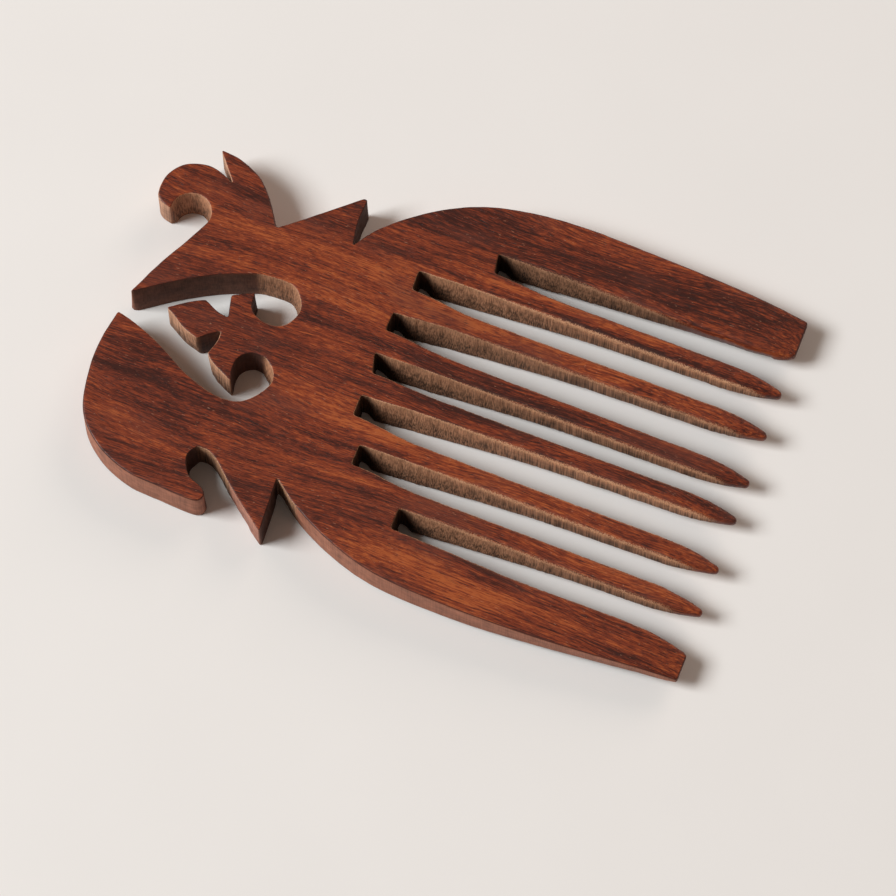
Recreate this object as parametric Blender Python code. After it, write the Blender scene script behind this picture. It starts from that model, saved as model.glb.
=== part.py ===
"""Wide-tooth hand comb with a fretwork handle, cut in one piece from a flat rosewood board.

The comb lies flat on its underside, at Z = 0. Its teeth point along +X and its width runs along Y.
Sizes are in millimetres here, and become metres when the mesh is made.
"""
import math

import bmesh
import bpy
from mathutils import Matrix, Vector
from mathutils.geometry import delaunay_2d_cdt

MILLIMETRE = 0.001

# The board
BOARD_THICKNESS = 8.5
EDGE_CHAMFER = 0.5
TAPER_START_X = -4.0        # the board is flat from the handle to here, and thins from here to the tips
TAPER_END_X = 67.0
END_THICKNESS = 3.8         # thickness that the even taper would reach at the tips

# The six thin teeth, from the upper side (+Y) down
TOOTH_WIDTH = 4.1
POINT_LENGTH = 12.0         # stretch over which a thin tooth narrows to its blunt point
POINT_WIDTH = 1.3
POINT_THICKNESS = 1.7
POINT_STATIONS = (0.7, 0.45, 0.25, 0.1, 0.0)    # where the point is measured, as shares of its length to go
ROOT_BLEND_LENGTH = 14.0    # stretch over which a slot opens from its saw cut to the sanded tooth sides
TOOTH_ROOT_Y = (23.8, 13.85, 3.75, -5.55, -16.05, -25.85)
TOOTH_TIP_Y = (23.35, 13.85, 2.95, -5.45, -16.55, -26.3)
TOOTH_TIP_X = (66.35, 66.6, 66.8, 67.05, 67.25, 67.3)

# The seven slots, from the upper side down: the two corners of each saw cut's blind end
SLOT_UPPER_CORNER = ((2.5, 30.9), (-11.3, 21.5), (-12.8, 11.1), (-13.1, 1.5), (-12.3, -8.1), (-8.8, -18.3),
                     (3.5, -28.1))
SLOT_LOWER_CORNER = ((3.2, 26.6), (-11.1, 17.2), (-12.9, 6.9), (-12.0, -2.8), (-12.3, -12.7), (-8.7, -22.7),
                     (3.5, -32.65))

# The two thick outer teeth end in straight cuts
UPPER_END = ((66.0, 32.3), (66.0, 40.3))
LOWER_END = ((67.35, -41.4), (67.35, -35.6))

CURVE_STEP = 2.2            # longest chord on a curved stroke
STRAIGHT_STEP = 11.0        # longest chord along a tooth
REFLEX_LIMIT = 1.1          # how far an inset corner may move, in widths, where the outline turns inwards
SAME_POINT = 0.0001         # points closer than this count as one


class Outline:
    """A closed outline seen from above, drawn anticlockwise one stroke at a time."""

    def __init__(self, start):
        self.points = [Vector(start)]

    def line_to(self, end, step=STRAIGHT_STEP):
        start = self.points[-1]
        run = Vector(end) - start
        pieces = max(1, math.ceil(run.length / step))
        for index in range(1, pieces + 1):
            self.points.append(start + run * index / pieces)

    def arc_through(self, via, end):
        """A circular arc from the last point, through via, to end."""
        a, b, c = self.points[-1], Vector(via), Vector(end)
        twice_area = (b - a).cross(c - a) * 2
        u, v = (b - a).length_squared, (c - a).length_squared
        centre = a + Vector(((c - a).y * u - (b - a).y * v, (b - a).x * v - (c - a).x * u)) / twice_area
        arm = a - centre
        sweep = math.atan2(arm.cross(c - centre), arm.dot(c - centre))
        if twice_area > 0 and sweep < 0:
            sweep += 2 * math.pi
        if twice_area < 0 and sweep > 0:
            sweep -= 2 * math.pi
        pieces = max(2, math.ceil(abs(sweep) * arm.length / CURVE_STEP))
        for index in range(1, pieces + 1):
            self.points.append(centre + Matrix.Rotation(sweep * index / pieces, 2) @ arm)

    def curve_through(self, *stations):
        """A smooth curve from the last point through the stations, ending at the last of them."""
        knots = [self.points[-1]] + [Vector(station) for station in stations]
        knots = [knots[0] * 2 - knots[1]] + knots + [knots[-1] * 2 - knots[-2]]
        for before, start, end, after in zip(knots, knots[1:], knots[2:], knots[3:]):
            pieces = max(1, round((end - start).length / CURVE_STEP))
            for index in range(1, pieces + 1):
                self.points.append(centripetal_point(before, start, end, after, index / pieces))


def centripetal_point(before, start, end, after, fraction):
    """The point at a fraction of the way from start to end on a centripetal Catmull-Rom curve."""
    first = math.sqrt((start - before).length)
    middle = math.sqrt((end - start).length)
    last = math.sqrt((after - end).length)
    leaving = ((start - before) / first - (end - before) / (first + middle) + (end - start) / middle) * middle
    arriving = ((end - start) / middle - (after - start) / (middle + last) + (after - end) / last) * middle
    cube = start * 2 - end * 2 + leaving + arriving
    square = end * 3 - start * 3 - leaving * 2 - arriving
    return ((cube * fraction + square) * fraction + leaving) * fraction + start


def draw_upper_side(outline):
    """The upper edge from the thick tooth's end, over the shoulder, to the gorge behind the wedge."""
    outline.curve_through((50.5, 41.7), (30.7, 42.6), (17.0, 42.9), (5.7, 42.0), (-4.5, 39.5), (-13.4, 34.9),
                          (-22.1, 27.6), (-25.0, 23.6), (-25.9, 22.0))


def draw_wedge_and_crest(outline):
    """The pointed wedge, the V gorge and the crest that leans back over the curl."""
    outline.curve_through((-26.8, 27.5), (-26.7, 32.6))
    outline.line_to((-27.5, 32.7))
    outline.curve_through((-31.2, 29.4), (-36.3, 24.9), (-41.8, 20.2))
    outline.curve_through((-45.9, 26.2), (-49.2, 29.5), (-54.8, 32.0), (-58.8, 32.4))
    outline.curve_through((-56.5, 29.5), (-53.85, 26.25))


def draw_curl(outline):
    """The round curl at the handle's corner, and the round pocket inside it."""
    outline.curve_through((-57.2, 27.8), (-60.0, 28.3), (-64.6, 26.8), (-66.9, 23.9), (-67.6, 18.2))
    outline.curve_through((-65.7, 17.2), (-63.6, 16.5))
    outline.arc_through((-59.6, 21.4), (-55.3, 16.6))


def draw_beak(outline):
    """The long beak, and the round hole that its inner edge runs into."""
    outline.curve_through((-58.0, 10.7), (-61.3, 4.0), (-64.3, -3.7))
    outline.curve_through((-56.0, 2.2), (-48.8, 6.3), (-41.6, 9.2), (-37.6, 9.6), (-33.4, 9.1), (-30.6, 4.9),
                          (-32.6, 0.4), (-36.8, -0.2), (-39.9, 1.7), (-40.5, 5.2))


def draw_leaf(outline):
    """The leaf in the middle of the handle, with a lobe on each side and a thorn-shaped nick."""
    outline.curve_through((-42.8, 4.05), (-44.9, 3.0))
    outline.curve_through((-44.3, 0.6), (-43.6, -1.9))
    outline.curve_through((-46.05, -1.4), (-49.3, 0.2))
    outline.curve_through((-52.1, -1.3), (-56.1, -4.2))
    outline.curve_through((-54.0, -5.4), (-51.6, -7.0), (-47.9, -8.4))
    outline.curve_through((-45.6, -6.4), (-43.8, -5.1))
    outline.curve_through((-43.7, -7.2), (-44.7, -10.7))
    outline.curve_through((-43.0, -12.1), (-40.4, -13.5), (-38.0, -14.6))


def draw_long_lobe(outline):
    """The lower round hole, and the broad lobe that sweeps from it round the handle's corner to a hook."""
    outline.curve_through((-38.7, -12.4), (-38.5, -9.4), (-36.4, -7.4), (-33.5, -7.3), (-30.9, -9.5),
                          (-30.2, -11.8), (-31.2, -14.4), (-34.2, -17.8), (-38.8, -18.7), (-46.6, -16.5),
                          (-54.4, -12.3), (-60.9, -9.6), (-65.0, -8.5))
    outline.curve_through((-65.9, -14.8), (-65.8, -21.2), (-63.2, -31.4), (-57.7, -37.0), (-50.3, -40.2),
                          (-43.0, -40.9), (-33.7, -41.3))
    outline.curve_through((-34.0, -38.7), (-38.2, -36.5), (-40.2, -32.7), (-39.0, -30.1))


def draw_spike_and_lower_side(outline):
    """The spike below the hook, its gorge, and the lower edge out to the other thick tooth's end."""
    outline.curve_through((-35.9, -30.5), (-30.5, -35.0), (-26.0, -38.7), (-20.7, -42.7))
    outline.curve_through((-21.2, -35.5), (-21.6, -30.8))
    outline.curve_through((-15.9, -35.1), (-8.1, -39.2), (2.6, -42.6), (19.2, -43.9), (39.0, -43.6),
                          (58.9, -42.2), LOWER_END[0])


def tooth_edge_y(tooth, side, x):
    """Y of a thin tooth's side (+1 upper, -1 lower) at x, with its point but without its root."""
    root_x = SLOT_LOWER_CORNER[tooth][0]
    along = (x - root_x) / (TOOTH_TIP_X[tooth] - root_x)
    centre = TOOTH_ROOT_Y[tooth] + (TOOTH_TIP_Y[tooth] - TOOTH_ROOT_Y[tooth]) * along
    to_tip = min(1.0, max(0.0, (TOOTH_TIP_X[tooth] - x) / POINT_LENGTH))
    width = POINT_WIDTH + (TOOTH_WIDTH - POINT_WIDTH) * (1 - (1 - to_tip) ** 2)
    return centre + side * width / 2


def tooth_side(tooth, side, slot_corner):
    """A thin tooth's side from its slot's corner to its tip."""
    start_x, cut_y = slot_corner
    tip_x = TOOTH_TIP_X[tooth]
    blend_end = start_x + ROOT_BLEND_LENGTH
    point_start = tip_x - POINT_LENGTH
    shaft = int((point_start - blend_end) / STRAIGHT_STEP) + 1
    stations = [start_x, start_x + ROOT_BLEND_LENGTH / 2, blend_end]
    stations += [blend_end + (point_start - blend_end) * index / shaft for index in range(1, shaft + 1)]
    stations += [tip_x - POINT_LENGTH * left for left in POINT_STATIONS]
    points = []
    for x in stations:
        sanded = min(1.0, (x - start_x) / ROOT_BLEND_LENGTH)
        sanded = sanded * sanded * (3 - 2 * sanded)
        points.append(Vector((x, cut_y + (tooth_edge_y(tooth, side, x) - cut_y) * sanded)))
    return points


def draw_teeth(outline):
    """The lower thick tooth's end and inner side, the six thin teeth, and the upper tooth's inner side."""
    outline.line_to(LOWER_END[1])
    outline.curve_through((63.0, -34.5), (55.0, -33.8), (30.0, -33.7), (15.0, -33.0), SLOT_LOWER_CORNER[-1])
    for tooth in reversed(range(len(TOOTH_TIP_X))):
        outline.points += tooth_side(tooth, -1, SLOT_UPPER_CORNER[tooth + 1])
        outline.points += reversed(tooth_side(tooth, 1, SLOT_LOWER_CORNER[tooth]))
    outline.line_to(SLOT_UPPER_CORNER[0])
    outline.curve_through((15.0, 30.8), (50.0, 30.5), (60.0, 30.7), (64.0, 31.2), UPPER_END[0])
    outline.line_to(UPPER_END[1])


def comb_outline():
    outline = Outline(UPPER_END[1])
    draw_upper_side(outline)
    draw_wedge_and_crest(outline)
    draw_curl(outline)
    draw_beak(outline)
    draw_leaf(outline)
    draw_long_lobe(outline)
    draw_spike_and_lower_side(outline)
    draw_teeth(outline)
    outline.points.pop()
    return outline.points


def inset(points, distance):
    """The outline moved inwards by distance, one point for each point."""
    moved = []
    for index, point in enumerate(points):
        arriving = (point - points[index - 1]).normalized()
        leaving = (points[(index + 1) % len(points)] - point).normalized()
        inward = Vector((-arriving.y - leaving.y, arriving.x + leaving.x))
        inward /= 1 + arriving.dot(leaving)
        if arriving.cross(leaving) < 0 and inward.length > REFLEX_LIMIT:
            inward *= REFLEX_LIMIT / inward.length
        moved.append(point + inward * distance)
    return moved


def thickness_at(x):
    """The board's thickness at x: full in the handle, thinning along the teeth and again at their points."""
    along = min(1.0, max(0.0, (x - TAPER_START_X) / (TAPER_END_X - TAPER_START_X)))
    thickness = BOARD_THICKNESS + (END_THICKNESS - BOARD_THICKNESS) * along
    to_point = min(1.0, max(0.0, (x - TAPER_END_X + POINT_LENGTH) / POINT_LENGTH))
    return thickness + (POINT_THICKNESS - END_THICKNESS) * to_point ** 2


def face_triangles(points):
    """The flat face inside an outline as triangles, each three places in the list of points."""
    inside_only = 1
    return delaunay_2d_cdt(points, [], [range(len(points))], inside_only, SAME_POINT)[2]


def comb_mesh():
    """The board between its chamfered lower and upper faces, as one closed body."""
    points = comb_outline()
    inner = inset(points, EDGE_CHAMFER)
    mesh = bmesh.new()
    rings = []
    levels = ((inner, -1, 0.0), (points, -1, EDGE_CHAMFER), (points, 1, EDGE_CHAMFER), (inner, 1, 0.0))
    for ring, side, drop in levels:
        verts = []
        for place, edge_place in zip(ring, points):
            height = BOARD_THICKNESS / 2 + side * (thickness_at(edge_place.x) / 2 - drop)
            verts.append(mesh.verts.new((place.x * MILLIMETRE, place.y * MILLIMETRE, height * MILLIMETRE)))
        rings.append(verts)
    for lower, upper in zip(rings, rings[1:]):
        for index in range(len(points)):
            after = (index + 1) % len(points)
            mesh.faces.new((lower[index], lower[after], upper[after], upper[index]))
    bmesh.ops.triangulate(mesh, faces=mesh.faces[:])
    for a, b, c in face_triangles(inner):
        mesh.faces.new((rings[0][a], rings[0][c], rings[0][b]))
        mesh.faces.new((rings[-1][a], rings[-1][b], rings[-1][c]))
    return mesh


def centre_on_origin(mesh):
    """Put the middle of the comb's bounding box over the origin."""
    for axis in (0, 1):
        places = [vert.co[axis] for vert in mesh.verts]
        shift = (min(places) + max(places)) / 2
        for vert in mesh.verts:
            vert.co[axis] -= shift


def rosewood():
    material = bpy.data.materials.new("oiled_rosewood")
    material.use_nodes = True
    shader = material.node_tree.nodes["Principled BSDF"]
    shader.inputs["Base Color"].default_value = (0.165, 0.043, 0.020, 1.0)
    shader.inputs["Roughness"].default_value = 0.42
    shader.inputs["Metallic"].default_value = 0.0
    return material


def main():
    for old in list(bpy.data.objects):
        bpy.data.objects.remove(old, do_unlink=True)
    mesh = comb_mesh()
    centre_on_origin(mesh)
    data = bpy.data.meshes.new("comb")
    mesh.to_mesh(data)
    mesh.free()
    data.materials.append(rosewood())
    comb = bpy.data.objects.new("comb", data)
    bpy.context.scene.collection.objects.link(comb)


main()
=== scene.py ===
"""Looks of the wide-tooth hand comb: its surfaces, its wood, the floor, the light and the camera.

The outline follows the design's. It is drawn here again in finer steps, with the tips of the curl and the
hook rounded. X runs along the teeth, Y across the comb and Z up out of its broad face. Near means towards -Y
and far towards +Y. Sizes are in millimetres, and become metres when a mesh is made.
"""
import math
from collections import namedtuple

import bpy
import numpy as np
from mathutils import Matrix, Vector
from mathutils.geometry import delaunay_2d_cdt


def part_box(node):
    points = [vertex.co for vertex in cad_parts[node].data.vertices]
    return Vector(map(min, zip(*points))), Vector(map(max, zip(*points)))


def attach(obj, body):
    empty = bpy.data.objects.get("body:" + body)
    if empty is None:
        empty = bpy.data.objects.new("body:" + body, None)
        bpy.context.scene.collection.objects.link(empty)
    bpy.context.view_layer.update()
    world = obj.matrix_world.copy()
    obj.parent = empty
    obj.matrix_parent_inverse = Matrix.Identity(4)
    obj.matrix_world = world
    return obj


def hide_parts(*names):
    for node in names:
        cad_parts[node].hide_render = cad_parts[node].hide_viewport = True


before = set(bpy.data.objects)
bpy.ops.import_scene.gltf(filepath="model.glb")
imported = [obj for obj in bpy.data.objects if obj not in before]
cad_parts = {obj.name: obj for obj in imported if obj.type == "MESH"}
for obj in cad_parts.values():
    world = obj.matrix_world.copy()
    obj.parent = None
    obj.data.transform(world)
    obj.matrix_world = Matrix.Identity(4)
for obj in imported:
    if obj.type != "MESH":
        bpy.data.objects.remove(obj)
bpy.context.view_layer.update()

MILLIMETRE = 0.001

# The board, as in the design
BOARD_THICKNESS = 8.5
TAPER_START_X = -4.0
TAPER_END_X = 67.0
END_THICKNESS = 3.8
TOOTH_WIDTH = 4.1
POINT_LENGTH = 12.0
POINT_WIDTH = 1.3
POINT_THICKNESS = 1.7
TIP_RADIUS = 0.45           # stretch over which a tooth's tip is rounded off
TIP_STEPS = (0.6, 0.3, 0.12, 0.0)    # a tooth's last points, in steps back from its tip
ROOT_BLEND_LENGTH = 14.0
TOOTH_ROOT_Y = (23.8, 13.85, 3.75, -5.55, -16.05, -25.85)
TOOTH_TIP_Y = (23.35, 13.85, 2.95, -5.45, -16.55, -26.3)
TOOTH_TIP_X = (66.35, 66.6, 66.8, 67.05, 67.25, 67.3)
SLOT_UPPER_CORNER = ((2.5, 30.9), (-11.3, 21.5), (-12.8, 11.1), (-13.1, 1.5), (-12.3, -8.1), (-8.8, -18.3),
                     (3.5, -28.1))
SLOT_LOWER_CORNER = ((3.2, 26.6), (-11.1, 17.2), (-12.9, 6.9), (-12.0, -2.8), (-12.3, -12.7), (-8.7, -22.7),
                     (3.5, -32.65))
UPPER_END = ((66.0, 32.3), (66.0, 40.3))
LOWER_END = ((67.35, -41.4), (67.35, -35.6))

# The mesh
STROKE_STEP = 0.4           # longest chord while a stroke is drawn
WALL_STEP = 0.36            # spacing of the wall's columns along the outline
CORNER_PASSES = 2           # how often the outline's corners are softened
FINISH_PASSES = 6           # how often the change from one wall's finish to the next is softened
COLOUR_PASSES = 3           # the same for the walls' colours
WALL_ROWS = 8               # rows up the wall between the two rounded edges
EDGE_ROWS = 5               # rows round each edge
FACE_STEP = 1.1             # spacing of the points inside the broad faces
FACE_CLEARANCE = 0.55       # distance kept between those points and the face's border
FACE_JITTER = 0.3           # how far those points stray from their grid, as a share of its step
FACE_SEED = 7
BLOCK = 400                 # points compared with the whole outline at once, to save memory
TINY = 1e-9                 # stands in for nothing where nothing can't be divided by

# Limits on the wall's shape
MOST_ROOM = 4.0             # radius at which the space beside the outline counts as endless
LEAST_SLOPE = 0.01          # points that lie more nearly level with a point than this don't limit its room
ROOM_REACH = 3              # columns to each side whose room also counts
ROOM_PASSES = 2             # how often the room is softened
BALL_SHARE = 0.7            # share of the room inside the outline that an edge's rounding may take
EDGE_HEIGHT_SHARE = 0.42    # share of the board's thickness that it may take
UNDERCUT_SHARE = 0.82       # share of the room inside for the rounding and an undercut together
UNDERCUT_REACH = 9          # columns to each side whose room also limits an undercut
UNDERCUT_PASSES = 40        # how often that limit is softened
LEAN_SHARE = 0.4            # share of the gap that a leaning wall may take
SLOT_LEAN_SHARE = 0.65      # the same for a slot's far wall, which has no leaning wall across from it

# The wall's shape
FACES_NEAR = (-0.5, 0.5)    # the wall's turn, as its inward normal's Y, from facing far to facing near
LEAN_POWER = 1.3            # above 1, a leaning wall curves out towards its foot
TOOTH_ROUNDING = 0.85       # extra rounding of the edges along a tooth, where it is sanded
TOOTH_ROUNDING_FAR = 0.35   # share of it along the walls that face the far side
TOOTH_ROUNDING_LENGTH = 26.0
SLOT_LEAN = 1.3             # how far a slot's far wall leans into the gap at its blind end
SLOT_LEAN_ELSEWHERE = 0.2   # share of it in the slot's walls that face the far side
SLOT_LEAN_LENGTH = 44.0
UNDERCUT = 0.4              # how far the thick teeth's near walls draw in at the underside
UNDERCUT_X = (20.0, 50.0)   # stretch over which the lower thick tooth's undercut begins
UNDERCUT_END_X = (66.0, 58.0)    # where both undercuts have ended, and where they are still whole
SAW_DEPTH = 0.03            # height of the saw's ripples in a sawn wall
CUT_WANDER = 0.04           # slow wander of a hand-guided cut
SANDED_WANDER_SHARE = 0.1   # share of it that sanding leaves
FACE_HOLLOW = 0.05          # how uneven hand sanding leaves the broad faces

# Ripples: length, and seed
ROUNDING_RIPPLE = (5.0, 40)
SAW_RIPPLE = (1.3, 41)
WANDER_RIPPLE = (7.0, 42)
UPPER_FACE_RIPPLE = (16.0, 43)
LOWER_FACE_RIPPLE = (16.0, 44)
RIPPLE_PEAK = 2.2           # about the most that a ripple reaches
RIPPLE_WAVES = 7            # waves that a ripple is the sum of
WAVE_PITCHES = (0.6, 1.7)   # least and greatest pitch of its waves, as shares of its length
ROUNDING_UNEVENNESS = 0.1   # how much the edges' rounding varies

# The sawn walls' light and dark
SANDED_POINT_X = (56.0, 66.5)    # stretch over which the saw marks are sanded away near the teeth's points
SANDED_END_X = (30.0, 52.0)      # the same along the upper thick tooth
SANDED_BARE_SHARE = 0.2          # share of the bare wood's colour that sanding leaves
PAINTED_ROOT_SHADE = 0.78                # how much painted shade darkens a slot's wall towards its blind end
PAINTED_ROOT_SHADE_LENGTH = (2.5, 12.0)  # how far from the blind end the painted shade reaches, at its top and at its foot
PAINTED_ROOT_SHADE_EDGE = (0.3, 1.1)     # shares of that length between which it fades

# The slots, from the upper side down: how fuzzy their edges are, and how pale their walls
SLOT_FUZZ = (0.4, 1.0, 0.5, 0.6, 1.0, 0.8, 0.55)
SLOT_PALE = (0.62, 1.0, 0.85, 0.9, 1.05, 0.95, 0.9)

# The ways in which the comb's walls are finished: colour, share of saw marks, lean into the gap at the
# underside, rounding of the edges and fuzz on the edges
Wall = namedtuple("Wall", "colour saw lean rounding fuzz")
SANDED = Wall((0.300, 0.118, 0.070), 0.0, 0.0, 0.42, 0.0)
SLOT = Wall((0.325, 0.160, 0.088), 1.0, 0.0, 0.32, 1.0)
BEAK = Wall((0.140, 0.056, 0.033), 0.1, 0.85, 0.22, 0.0)
PIERCED = Wall((0.310, 0.148, 0.080), 0.8, 0.75, 0.24, 0.6)
LEAF = Wall((0.400, 0.215, 0.130), 1.0, -0.65, 0.24, 0.6)
CURL_TIP = Wall((0.380, 0.205, 0.130), 0.5, -1.3, 0.45, 0.4)
SPIKE = Wall((0.330, 0.140, 0.095), 0.3, -0.2, 0.25, 0.3)
ROUGH = Wall((0.190, 0.095, 0.052), 1.0, -0.15, 0.25, 0.9)
# very dark walls in the gorges, the holes, the leaf's nick and the hook's pocket: their colour is painted
# shade
PAINTED_SHADE_RECESS = Wall((0.062, 0.025, 0.017), 0.2, 0.3, 0.24, 0.0)
END_GRAIN = Wall((0.100, 0.038, 0.024), 0.1, 0.0, 0.3, 0.0)

# Bands in the wood's figure: x, y, half length, half width, slope, tone (above 0 orange, below 0 dark)
FIGURE = (
    (-36.0, 17.8, 24.0, 1.7, -0.02, 0.45),
    (-5.0, 15.4, 14.0, 1.6, -0.03, 0.6),
    (28.0, 14.6, 34.0, 1.3, 0.0, 0.55),
    (30.0, 24.7, 36.0, 0.8, -0.02, 0.8),
    (-22.0, -12.5, 12.0, 2.2, -0.12, 0.45),
    (2.0, -15.0, 14.0, 1.6, -0.02, 0.4),
    (-60.0, 20.0, 5.0, 2.0, 0.0, 0.3),
    (-52.0, -32.0, 9.0, 3.0, -0.3, 0.35),
    (-14.0, 8.0, 10.0, 2.0, 0.0, 0.25),
    (20.0, -38.5, 26.0, 2.6, 0.02, 0.8),
    (-55.0, 2.0, 8.0, 1.5, 0.2, 0.3),
    (-28.0, 24.5, 22.0, 1.2, -0.03, -0.6),
    (-42.0, 13.6, 14.0, 1.3, -0.03, -0.5),
    (-20.0, 4.0, 22.0, 1.0, -0.03, -0.2),
    (25.0, 22.75, 45.0, 0.75, -0.01, -1.0),
    (25.0, 2.7, 45.0, 1.2, -0.01, -0.5),
    (25.0, -5.0, 45.0, 1.8, 0.0, -0.35),
    (-52.0, -20.0, 14.0, 4.0, -0.2, -0.45),
    (-28.0, -22.0, 14.0, 1.4, -0.12, -0.2),
    (-50.0, -27.0, 10.0, 1.2, -0.25, -0.6),
    (10.0, 36.0, 60.0, 5.0, 0.0, -0.4),
    (-2.0, -33.0, 22.0, 4.5, -0.12, 0.3),
    (-16.0, -4.0, 12.0, 7.0, 0.0, 0.3),
    (30.0, -41.5, 30.0, 1.0, 0.0, -0.3),
    (-48.0, 24.0, 6.0, 3.0, 0.0, -0.25),
)

BAND_WANDER_LENGTH = 0.9    # length of a band's wander, as a share of its half length
BAND_WANDER = 0.35          # how far it wanders, as a share of its half width

# Noise in the wood and the floor: lengths of its features along X, Y and Z, octaves and roughness
Noise = namedtuple("Noise", "lengths detail roughness")
SLOW_BEND = Noise((60.0, 18.0, 18.0), 1.0, 0.5)
QUICK_BEND = Noise((9.0, 3.0, 3.0), 1.0, 0.5)
STRIPES = Noise((120.0, 6.5, 6.5), 2.0, 0.5)
STREAKS = Noise((40.0, 1.5, 1.5), 3.0, 0.6)
MOTTLE = Noise((8.0, 1.1, 1.1), 4.0, 0.65)
LINES = Noise((24.0, 0.34, 0.34), 2.0, 0.6)
FLECKS = Noise((1.9, 0.20, 0.20), 2.0, 0.65)
SAW_STROKES = Noise((0.17, 0.17, 9.0), 1.0, 0.5)
WALL_PATCHES = Noise((2.6, 2.6, 2.2), 2.0, 0.6)
WALL_LINES = Noise((16.0, 0.8, 0.55), 3.0, 0.6)
SPECKLE = Noise((0.22, 0.22, 0.45), 2.0, 0.7)
GLOSS = Noise((6.0, 0.7, 0.7), 2.0, 0.5)
PITS = Noise((0.35, 0.35, 0.35), 2.0, 0.5)
FLOOR_MOTTLE = Noise((40.0, 40.0, 40.0), 3.0, 0.5)

# How far the bends carry the grain along X, Y and Z
SLOW_BEND_SIZE = (0.0, 7.0, 5.0)
QUICK_BEND_SIZE = (0.0, 0.7, 0.5)

# The oiled face's tone: where its middle lies, how far the figure and each noise move it, and its colours
MIDDLE_TONE = 0.46
FIGURE_WEIGHT = 0.42
TONE_WEIGHTS = ((STRIPES, 0.85), (STREAKS, 0.72), (MOTTLE, 0.62), (FLECKS, 1.45))
LINES_WEIGHT = (0.80, 1.25)      # at the handle and at the teeth
LINED_X = (-20.0, 20.0)          # stretch over which it goes from the one to the other
FACE_COLOURS = (
    (0.08, (0.035, 0.0080, 0.0050)),
    (0.32, (0.090, 0.0170, 0.0080)),
    (0.50, (0.160, 0.0275, 0.0105)),
    (0.68, (0.230, 0.0440, 0.0135)),
    (0.90, (0.345, 0.0840, 0.0230)),
)

# Spots laid over the face: their noise, the stretch of it over which they appear, strength and colour
Spots = namedtuple("Spots", "noise low high strength colour")
DULL = Spots(Noise((22.0, 9.0, 9.0), 3.0, 0.6), 0.50, 0.72, 0.45, (0.105, 0.030, 0.020, 1.0))
PORES = Spots(Noise((2.6, 0.17, 0.17), 1.0, 0.5), 0.66, 0.74, 0.75, (0.018, 0.006, 0.005, 1.0))
GLINTS = Spots(Noise((0.9, 0.18, 0.18), 0.0, 0.5), 0.79, 0.84, 0.5, (0.42, 0.20, 0.12, 1.0))

# The bare walls' light: how far each noise moves it, and its lift from foot to top of a sawn wall, which is
# painted shade at the foot and painted light at the top
STROKES_RANGE = (0.34, 0.66)     # stretch of the strokes' noise from dark to light
STROKES_WEIGHT = (0.25, 0.85)    # in a sanded wall and in a sawn one
PATCHES_WEIGHT = 1.1
WALL_LINES_WEIGHT = 0.75
PAINTED_LIFT_HEIGHTS = (0.25, 0.95)
PAINTED_WALL_LIFT = (-0.36, 0.34)
LEAST_LIGHT = 0.2

# Where bare wall takes over from oiled face, by the wall's share, and how ragged fuzz makes that border
BARE_FROM = (0.50, 0.80)
RAGGEDNESS = (0.15, 0.50)        # without fuzz and with it
FUZZ_SPREAD = 0.2                # how far fuzz carries the bare wood into the face

# The dark line of painted shade on sanded edges: the wall's shares over which it comes and goes, and the
# fuzz that hides it
PAINTED_EDGE_SHADE_START = (0.22, 0.42)
PAINTED_EDGE_SHADE_END = (0.86, 0.62)
PAINTED_EDGE_SHADE_FUZZ = (0.35, 0.05)
PAINTED_EDGE_SHADE_STRENGTH = 0.75
PAINTED_EDGE_SHADE_COLOUR = (0.035, 0.011, 0.008, 1.0)

# The pale fibres on sawn edges: the shares, heights, painted shade and speckle over which they come
FIBRE_START = (0.2, 0.5)
FIBRE_HEIGHTS = (0.70, 0.92)
FIBRE_PAINTED_SHADE = (0.8, 0.2)
FIBRE_SPECKLE = (0.46, 0.60)
FIBRE_STRENGTH = 0.9
FIBRE_COLOUR = (0.55, 0.30, 0.165, 1.0)

# The wood's shine and its fine relief
FACE_ROUGHNESS = (0.36, 0.54)
BARE_ROUGHER = 0.26
WOOD_SPECULAR = 0.28
STROKES_HEIGHT = (0.1, 1.1)      # in a sanded wall and in a sawn one
LINES_HEIGHT = 0.5
PITS_HEIGHT = 0.25
BUMP_HEIGHT = 0.06               # height of the relief
BUMP_STRENGTH = 0.8

# The floor, with its half width in metres
FLOOR_HALF = 4.0
FLOOR_COLOURS = ((0.730, 0.715, 0.695, 1.0), (0.760, 0.746, 0.726, 1.0))
FLOOR_ROUGHNESS = 0.85
FLOOR_SPECULAR = 0.2

# The lamps, with their distances and sizes in metres, and the even light from all round
Lamp = namedtuple("Lamp", "name to_right to_near elevation distance size power colour")
LAMPS = (
    Lamp("key", -1.0, 0.07, 43.5, 3.2, 1.4, 124.0, (0.965, 0.99, 1.0)),
    Lamp("fill", 0.6, -0.8, 30.0, 3.0, 1.8, 29.0, (1.0, 0.80, 0.68)),
)
WORLD_COLOUR = (1.0, 0.80, 0.68, 1.0)
WORLD_STRENGTH = 0.17

# The camera: where it looks from, the point that it looks at, its distance from that point and its lens
VIEW_AZIMUTH = math.radians(20.9)
VIEW_ELEVATION = math.radians(68.0)
VIEW_TARGET = Vector((8.155, -12.14, 8.5))
VIEW_DISTANCE = 1018.1
VIEW_LENS = 204.5
CLIP_START = 0.05                # in metres


# ---- The outline ----

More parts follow.
